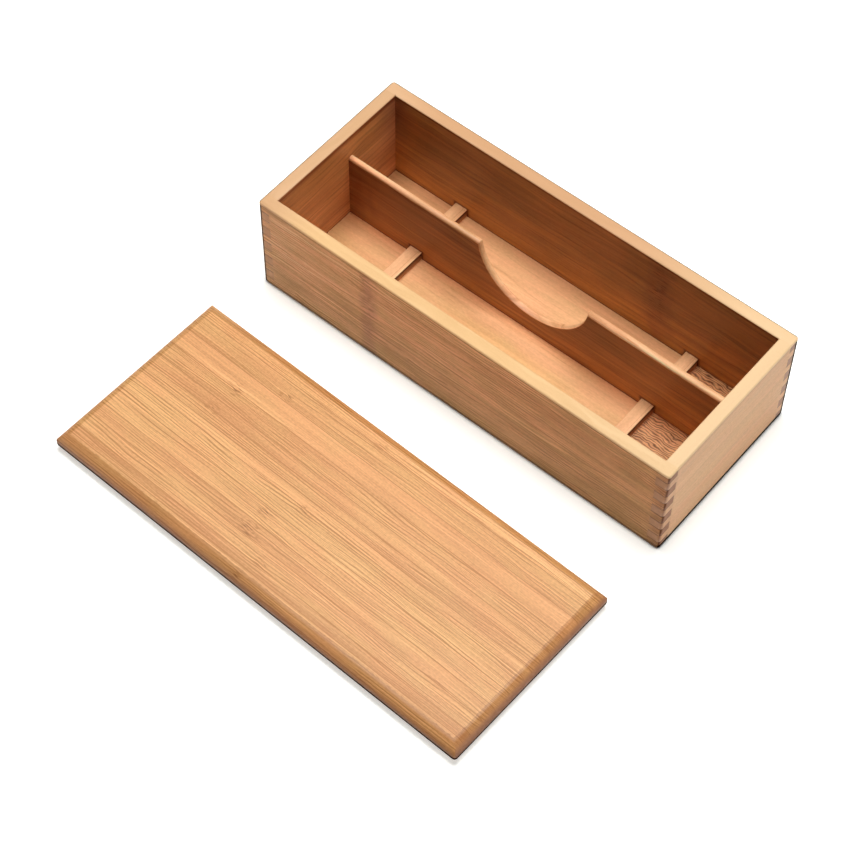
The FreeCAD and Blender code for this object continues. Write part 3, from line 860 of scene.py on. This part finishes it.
# A painted pool of light on the front bay's floor.
LIGHT_POOL_FORWARD = 14 * MM
LIGHT_POOL_SIZE = (65 * MM, 14 * MM, 1.0)
LIGHT_POOL_FADE = (0.2, 1.0)
FLOOR_PAINTED_LIGHT_POOL = (1.10, 1.14, 1.02, 1.0)
FLOOR_TO_BACK = span(-45, 0)
FLOOR_ROSY_SHADE = (0.98, 0.94, 0.93, 1.0)

# The curly figure beyond the right rest.
CURL_START = span(0, 6, REST_PLACE)
CURL_PITCH = 1.5 * MM
CURL_SWAY = 4.5
CURL_SWAY_SIZE = (9 * MM, 6 * MM, 1.0)
CURL_SWAY_SEED = 551.0
CURL_LINE = (0.03, 0.36)
CURL_PATCH_SIZE = (7 * MM, 2.4 * MM, 1.0)
CURL_PATCH_SEED = 553.0
CURL_PATCH_FADE = (0.35, 0.65)
CURL_CONTRAST = 0.75
CURL_PATCH_CONTRAST = 0.35
CURL_DEEP_SHADE = (0.17, 0.10, 0.07, 1.0)
CURL_PALE_SHADE = (0.88, 0.78, 0.68, 1.0)


def draw_curl(tree, parts):
    """Wavy dark lines across the fibres, stronger in some patches than in others."""
    flat = tree.combine(parts[X], parts[Y])
    sway = tree.noise(flat, CURL_SWAY_SIZE, detail=2.0, seed=CURL_SWAY_SEED)
    waves = tree.sum_up(tree.math("DIVIDE", parts[Y], CURL_PITCH), (sway, CURL_SWAY))
    waves = tree.rise(tree.math("PINGPONG", waves, 0.5), CURL_LINE)
    patches = tree.noise(flat, CURL_PATCH_SIZE, detail=1.0, seed=CURL_PATCH_SEED)
    patches = tree.rise(patches, CURL_PATCH_FADE)
    figure = tree.sum_up(0.0, (waves, CURL_CONTRAST), (patches, CURL_PATCH_CONTRAST))
    return tree.blend(figure, CURL_DEEP_SHADE, CURL_PALE_SHADE)


def finish_floor(tree, shade, tone, parts, faces):
    """The floor: rosier beside the divider, yellower by the front wall, curly at the right end; painted
    shade near both end walls, a painted contact shadow by the right rest, painted light just in front
    of the divider and a painted pool of light in the front bay.
    """
    shade = tree.tint(tree.rise(parts[X], FLOOR_TO_END), shade, FLOOR_END_PAINTED_SHADE)
    shade = tree.tint(tree.fall(parts[X], FLOOR_TO_LEFT), shade, FLOOR_LEFT_PAINTED_SHADE)
    beside = tree.size(tree.minus(REST_SHADOW_PLACE, parts[X]))
    shade = tree.tint(tree.fall(beside, REST_SHADOW_LINE), shade, REST_CONTACT_SHADOW_SHADE)
    lit_by_divider = tree.times(tree.rise(parts[Y], BY_DIVIDER), tree.fall(parts[Y], UNDER_DIVIDER))
    shade = tree.tint(lit_by_divider, shade, FLOOR_PAINTED_LIGHT_BY_DIVIDER)
    away = tree.combine(parts[X], tree.plus(parts[Y], LIGHT_POOL_FORWARD))
    light_pool = tree.fall(tree.distance(tree.stretch(away, LIGHT_POOL_SIZE)), LIGHT_POOL_FADE)
    shade = tree.tint(light_pool, shade, FLOOR_PAINTED_LIGHT_POOL)
    shade = tree.tint(tree.rise(parts[Y], FLOOR_TO_BACK), shade, FLOOR_ROSY_SHADE)
    return tree.tint(tree.rise(parts[X], CURL_START), shade, draw_curl(tree, parts))


# ---------------------------------------------------------------- finish of the rests
REST_SIDEWAYS = (0.85, 0.98)
REST_ARRIS_FACING = (0.15, 0.40)
REST_RISE = span(0.5, 5.0, FLOOR_TOP)
# Painted shade on the rests' sides and a painted highlight on their arris.
REST_SIDE_LOW_PAINTED_SHADE = (0.62, 0.50, 0.42, 1.0)
REST_SIDE_HIGH_PAINTED_SHADE = (0.12, 0.08, 0.06, 1.0)
REST_ARRIS_HIGHLIGHT = (1.25, 1.30, 1.36, 1.0)


def finish_rest(tree, shade, tone, parts, faces):
    """A rest: a painted highlight on its arris, and painted shade on its sides, darkest just below it.
    """
    level = tree.blend(tree.rise(parts[Z], REST_RISE), REST_SIDE_LOW_PAINTED_SHADE, REST_SIDE_HIGH_PAINTED_SHADE)
    shade = tree.tint(tree.rise(tree.size(faces[X]), REST_SIDEWAYS), shade, level)
    arris = tree.rise(tree.times(faces[X], faces[Z]), REST_ARRIS_FACING)
    return tree.tint(arris, shade, REST_ARRIS_HIGHLIGHT)


# ---------------------------------------------------------------- looks of the boards
# strip is the width of the laminated strips, and strip_contrast how much their tones differ.
# streak, cloud, blotch and speck weigh the tone's noises, from the longest to the shortest.
# wander, ripple and bend are how far the fibres stray, ripple in features of ripple_size.
# pitch and reach are the threads' spacing and length; coarse, fine and light weigh them, and seam
# and knot weigh the seams and nodes. blush is how rosy patches are.
COMMON = {
    "seed": 0.0,
    "strip": 8 * MM,
    "strip_contrast": 0.35,
    "streak": 0.8,
    "cloud": 0.5,
    "speck": 0.5,
    "blotch": 0.0,
    "blush": 0.5,
    "wander": 3 * MM,
    "ripple": 0.4 * MM,
    "ripple_size": (14 * MM, 9 * MM, 9 * MM),
    "bend": 1.0 * MM,
    "base": colour(228, 172, 109),
    "end": colour(206, 148, 100),
    "pitch": 1.7 * MM,
    "reach": 40 * MM,
    "coarse": 1.0,
    "fine": 0.7,
    "light": 0.4,
    "seam": 0.5,
    "knot": 1.0,
    "knots": (),
    "bump": 0.3,
    "roughness": 0.42,
    "specular": 0.5,
}

# Smoother boards, where broad soft streaks count for more than threads.
SMOOTH = {
    **COMMON,
    "cloud": 1.1,
    "streak": 1.1,
    "pitch": 3.2 * MM,
    "coarse": 0.45,
    "fine": 0.15,
    "light": 0.25,
    "speck": 0.3,
    "seam": 0.3,
    "blotch": 0.8,
    "blush": 0.9,
    "ripple": 3.0 * MM,
    "ripple_size": (26 * MM, 12 * MM, 12 * MM),
}
REST = {
    **SMOOTH,
    "strip": 12 * MM,
    "base": colour(246, 194, 140),
    "strip_contrast": 0.1,
    "streak": 0.15,
    "coarse": 0.04,
    "fine": 0.04,
    "light": 0.04,
    "blotch": 0.3,
    "blush": 0.4,
    "finish": finish_rest,
}

# Nodes of the cane: middle and height along and across the board, half length, half width, strength.
LID_KNOTS = (
    (-88 * MM, 25 * MM, 7 * MM, 6 * MM, 0.7),
    (-89 * MM, 7.5 * MM, 7 * MM, 5 * MM, 0.7),
    (-64 * MM, 39 * MM, 6 * MM, 4 * MM, 0.6),
    (-10 * MM, -7 * MM, 8 * MM, 4 * MM, 0.9),
    (-23 * MM, -20 * MM, 7 * MM, 5 * MM, 0.8),
    (-23 * MM, -33 * MM, 9 * MM, 6 * MM, 1.0),
    (-4 * MM, -44 * MM, 6 * MM, 4 * MM, 0.7),
    (-10 * MM, -56 * MM, 6 * MM, 4 * MM, 0.6),
    (-5 * MM, 48 * MM, 7 * MM, 4 * MM, 0.6),
)
FRONT_KNOTS = (
    (-60 * MM, 40 * MM, 7 * MM, 28 * MM, 0.5),
    (-58 * MM, 24 * MM, 6 * MM, 8 * MM, 0.6),
    (-62 * MM, 62 * MM, 5 * MM, 8 * MM, 0.5),
)
BACK_KNOTS = ((53 * MM, 40 * MM, 10 * MM, 40 * MM, 0.5),)

# Strips of the lid: where each starts, its tone, how rosy it is and how rich in threads.
LID_STRIPS = (
    (-60 * MM, 0.4, 0.3, 0.7),
    (-52 * MM, 0.1, 0.7, 0.8),
    (-46 * MM, 0.6, 0.4, 0.9),
    (-37 * MM, 0.4, 0.6, 0.7),
    (-28 * MM, 0.7, 0.3, 0.9),
    (-17 * MM, 0.6, 0.0, 1.0),
    (-6 * MM, 0.7, 0.5, 0.6),
    (0 * MM, 0.42, 0.5, 0.9),
    (7 * MM, 0.48, 0.8, 0.5),
    (14 * MM, 0.40, 0.5, 1.0),
    (24 * MM, 0.58, 1.0, 0.25),
    (36 * MM, 0.42, 0.2, 0.6),
    (47 * MM, 0.5, 0.5, 0.9),
)

# The strips of a board lie within its span, which is a little wider than the board.
WALL_SPAN = span(-1, 69)

# Each board: the way its fibres run, the way its strips lie side by side, and its look.
LOOKS = {
    "lid": (X, Y, {
        **COMMON,
        "seed": 1.0,
        "base": colour(231, 175, 112),
        "span": span(-60, 60),
        "strips": LID_STRIPS,
        "knots": LID_KNOTS,
        "turn": (LID_TURN, LID_CENTRE),
        "coarse": 1.15,
        "fine": 0.9,
        "light": 0.3,
        "pitch": 1.5 * MM,
        "knot": 1.25,
        "seam": 1.5,
        "strip_contrast": 0.5,
        "ripple": 0.8 * MM,
        "blush": 0.65,
        "finish": finish_lid,
    }),
    "front_wall": (X, Z, {
        **COMMON,
        "seed": 101.0,
        "span": WALL_SPAN,
        "knots": FRONT_KNOTS,
        "reach": 25 * MM,
        "clump": (55 * MM, 20 * MM, 20 * MM),
        "base": colour(247, 194, 136),
        "end": colour(176, 122, 88),
        "pitch": 2.1 * MM,
        "coarse": 2.2,
        "fine": 1.3,
        "light": 0.6,
        "streak": 0.9,
        "blotch": 1.0,
        "blush": 0.9,
        "ripple": 1.4 * MM,
        "specular": 0.15,
        "finish": finish_front,
    }),
    "back_wall": (X, Z, {
        **SMOOTH,
        "seed": 201.0,
        "end": colour(176, 122, 88),
        "span": WALL_SPAN,
        "knots": BACK_KNOTS,
        "finish": finish_back,
    }),
    "left_end_wall": (Y, Z, {
        **SMOOTH,
        "seed": 301.0,
        "end": colour(212, 150, 90),
        "span": WALL_SPAN,
        "finish": finish_wall_light_inner_shade,
    }),
    "right_end_wall": (Y, Z, {
        **COMMON,
        "seed": 401.0,
        "span": WALL_SPAN,
        "base": colour(233, 180, 124),
        "end": colour(190, 132, 82),
        "streak": 0.4,
        "cloud": 0.3,
        "coarse": 0.12,
        "fine": 0.08,
        "light": 0.08,
        "seam": 0.1,
        "strip_contrast": 0.15,
        "finish": finish_wall_deep_inner_shade,
    }),
    "floor_panel": (X, Y, {
        **SMOOTH,
        "seed": 501.0,
        "span": span(-53, 53),
        "base": colour(243, 192, 133),
        "streak": 0.35,
        "cloud": 0.5,
        "coarse": 0.15,
        "fine": 0.1,
        "light": 0.1,
        "blotch": 0.25,
        "seam": 0.08,
        "ripple": 1.5 * MM,
        "finish": finish_floor,
    }),
    "divider": (X, Z, {
        **SMOOTH,
        "seed": 601.0,
        "span": span(0, 56),
        "base": colour(240, 182, 130),
        "end": colour(246, 194, 142),
        "streak": 1.2,
        "finish": finish_divider,
    }),
    "left_rest": (Y, X, {**REST, "seed": 701.0, "span": span(-90, -70)}),
    "right_rest": (Y, X, {**REST, "seed": 801.0, "span": span(70, 90)}),
}

WELD_REACH = 0.001 * MM
ARRIS_WIDTH = 0.2 * MM
ARRIS_ANGLE = 0.7


def dress_nodes():
    """Gives every CAD node its bamboo and a hair-fine arris."""
    for name, (along, across, look) in LOOKS.items():
        piece = frame["nodes"][name]
        material = bamboo("bamboo_" + name, along, across, look)
        for number in range(len(piece.data.materials)):
            piece.data.materials[number] = material
        weld = piece.modifiers.new("weld", "WELD")
        weld.merge_threshold = WELD_REACH
        arris = piece.modifiers.new("arris", "BEVEL")
        arris.width = ARRIS_WIDTH
        arris.segments = 2
        arris.limit_method = "ANGLE"
        arris.angle_limit = ARRIS_ANGLE
        arris.harden_normals = True


# ---------------------------------------------------------------- stage
WHITE = (1.0, 1.0, 0.95, 1.0)
STAGE_SIZE = 6.0
STAGE_DROP = 0.2 * MM
STAGE_COLOUR = (0.90, 0.90, 0.89, 1.0)
STAGE_SEEN_COLOUR = (0.90, 0.90, 0.88, 1.0)
STAGE_LIFT = 0.55
STAGE_FADE = (0.30, 0.70)
CONTACT_REACH = 3 * MM
CONTACT_FADE = (0.30, 0.90)
CONTACT_SAMPLES = 8
SKY = 0.05


def is_seen(tree):
    """1 for the rays by which the stage is seen, straight, in a gloss or through glass."""
    paths = tree.add("ShaderNodeLightPath").outputs
    return tree.most(paths["Is Camera Ray"], paths["Is Glossy Ray"], paths["Is Transmission Ray"])


def make_stage_material():
    """Pale and matt near the object, where it keeps the shadow, and white further off."""
    material = bpy.data.materials.new("stage_floor")
    tree = Tree(material)
    seen = is_seen(tree)
    place = tree.add("ShaderNodeTexCoord").outputs["Object"]
    fade = tree.times(tree.rise(tree.distance(place), STAGE_FADE), seen)
    bounced = tree.add("ShaderNodeBsdfDiffuse", {"Color": STAGE_COLOUR}).outputs[0]
    matt = tree.add("ShaderNodeBsdfDiffuse", {"Color": STAGE_SEEN_COLOUR}).outputs[0]
    contact = {"Distance": CONTACT_REACH}
    open_sky = tree.add("ShaderNodeAmbientOcclusion", contact, samples=CONTACT_SAMPLES).outputs["AO"]
    lift = tree.times(tree.rise(open_sky, CONTACT_FADE), STAGE_LIFT)
    lift = tree.add("ShaderNodeEmission", {"Color": WHITE, "Strength": lift}).outputs[0]
    lifted = tree.add("ShaderNodeAddShader", {0: matt, 1: lift}).outputs[0]
    white = tree.add("ShaderNodeEmission", {"Color": WHITE, "Strength": 1.0}).outputs[0]
    surface = tree.mix_shaders(fade, tree.mix_shaders(seen, bounced, lifted), white)
    tree.add("ShaderNodeOutputMaterial", {"Surface": surface})
    return material


def make_floor():
    """A pale floor that keeps the object's soft shadow and fades to white."""
    mesh = bpy.data.meshes.new("stage_floor")
    sheet = bmesh.new()
    bmesh.ops.create_grid(sheet, x_segments=8, y_segments=8, size=STAGE_SIZE)
    sheet.to_mesh(mesh)
    sheet.free()
    floor = bpy.data.objects.new("stage_floor", mesh)
    floor.location = (0.0, 0.0, -STAGE_DROP)
    bpy.context.scene.collection.objects.link(floor)
    mesh.materials.append(make_stage_material())


def make_world():
    """A dim even sky for the object, and white behind it."""
    world = bpy.data.worlds.new("world")
    tree = Tree(world)
    dim = tree.add("ShaderNodeBackground", {"Color": WHOLE, "Strength": SKY}).outputs[0]
    white = tree.add("ShaderNodeBackground", {"Color": WHITE, "Strength": 1.0}).outputs[0]
    surface = tree.mix_shaders(is_seen(tree), dim, white)
    tree.add("ShaderNodeOutputWorld", {"Surface": surface})
    bpy.context.scene.world = world


# Each lamp: where it hangs, the point that it aims at, its size in metres and its power in watts.
LAMPS = {
    "key_lamp": ((-0.10, 0.15, 1.58), (0.0, -0.05, 0.0), (0.9, 0.6), 25.0),
    "side_lamp": ((1.30, -0.10, 0.30), (0.0, 0.0, 0.03), (0.9, 0.5), 3.1),
    "front_lamp": ((-0.70, -1.20, 0.35), (-0.05, -0.05, 0.03), (0.6, 0.4), 1.6),
}


def make_lamps():
    """Hangs the soft lamps, each facing the point that it aims at."""
    for name, (place, aim, size, power) in LAMPS.items():
        data = bpy.data.lights.new(name, "AREA")
        data.shape = "RECTANGLE"
        data.size, data.size_y = size
        data.energy = power
        lamp = bpy.data.objects.new(name, data)
        lamp.location = place
        lamp.rotation_euler = (Vector(aim) - Vector(place)).to_track_quat("-Z", "Y").to_euler()
        lamp.visible_camera = False
        bpy.context.scene.collection.objects.link(lamp)


# ---------------------------------------------------------------- making
make_camera()
make_floor()
make_world()
make_lamps()
dress_nodes()
bpy.context.scene.view_settings.view_transform = "Standard"
